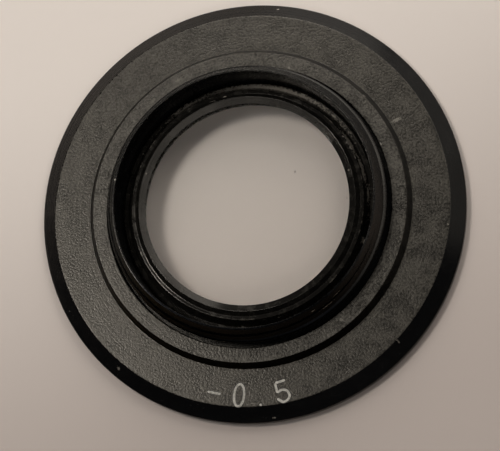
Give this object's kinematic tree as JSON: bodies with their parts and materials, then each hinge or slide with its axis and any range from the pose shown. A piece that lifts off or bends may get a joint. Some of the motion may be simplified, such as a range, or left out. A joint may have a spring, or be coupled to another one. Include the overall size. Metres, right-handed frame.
{
  "type": "diopter correction lens",
  "caption": "Screw-in eyepiece correction lens: weak minus lens held in a black flanged ring with a threaded collar by a slotted retaining ring.",
  "frame": {"origin": "centre of the ring on the plane that it rests on, at the eye side", "axes": "+Z along the lens axis, from the eye side to the threaded collar; the engraved figures are towards -Y"},
  "size_m": [0.0216, 0.0216, 0.003],
  "materials": {
    "black_anodised": "matte black anodised, fine grain",
    "lens_glass": "polished clear glass, thin antireflection coat",
    "satin_black": "satin black anodised",
    "figure_paint": "dull off-white paint in the engraved figures"
  },
  "bodies": {
    "root": {"mount_ring": "black_anodised", "lens": "lens_glass", "retaining_ring": "satin_black"}
  },
  "joints": []
}
